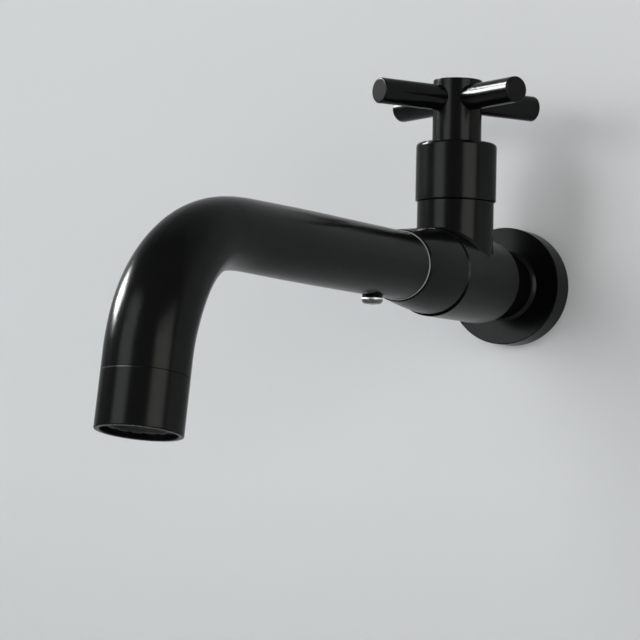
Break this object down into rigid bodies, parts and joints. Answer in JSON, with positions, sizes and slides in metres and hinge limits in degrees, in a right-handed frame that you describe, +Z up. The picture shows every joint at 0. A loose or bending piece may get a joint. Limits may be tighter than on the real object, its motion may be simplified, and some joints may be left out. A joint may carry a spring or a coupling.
{
  "type": "wall-mounted basin tap",
  "caption": "Wall-mounted basin tap with a round flange, an upright valve tower with a cross handle, and a long spout that bends down to an aerator.",
  "frame": {"origin": "centre of the wall face, on the axis of the inlet thread", "axes": "+Y runs into the wall along the inlet's axis, so the spout points along -Y; +Z is up, along the handle's axis; +X is to the right of someone who faces the wall"},
  "size_m": [0.0692, 0.3337, 0.1454],
  "materials": {
    "black_finish": "satin black coating on brass",
    "brass": "machined",
    "polished_steel": "polished stainless steel",
    "spring_steel": "plain stainless steel",
    "alumina": "lapped",
    "rubber": "matt",
    "aerator_plastic": "moulded",
    "nylon": "moulded"
  },
  "bodies": {
    "tap": {"wall_flange": "black_finish", "valve_body": "black_finish", "front_collar": "black_finish", "spout_tube": "black_finish", "aerator_housing": "black_finish", "valve_shroud": "black_finish", "cartridge_body": "brass", "spout_screw": "polished_steel", "fixed_disc": "alumina", "flange_gasket": "rubber", "collar_gasket": "rubber", "spigot_rings": "rubber", "aerator_gasket": "rubber", "cartridge_gasket": "rubber", "seat_seal": "rubber", "shroud_ring": "rubber", "aerator_shell": "aerator_plastic", "aerator_honeycomb": "aerator_plastic", "aerator_diffuser": "aerator_plastic", "spout_washer": "nylon"},
    "handle": {"valve_stem": "brass", "stem_rings": "rubber", "moving_disc": "alumina", "stop_collar": "brass", "stem_clip": "spring_steel", "handle_bush": "nylon", "handle_hub": "black_finish", "handle_screw": "spring_steel", "handle_cap": "black_finish", "handle_arm_1": "black_finish", "handle_arm_2": "black_finish", "handle_arm_3": "black_finish", "handle_arm_4": "black_finish"}
  },
  "joints": [
    {"name": "handle_turn", "type": "hinge", "parent": "tap", "child": "handle", "pos_m": [0, -0.0635, 0.0695], "axis": [0, 0, 1], "range_deg": [-90, 0]}
  ]
}
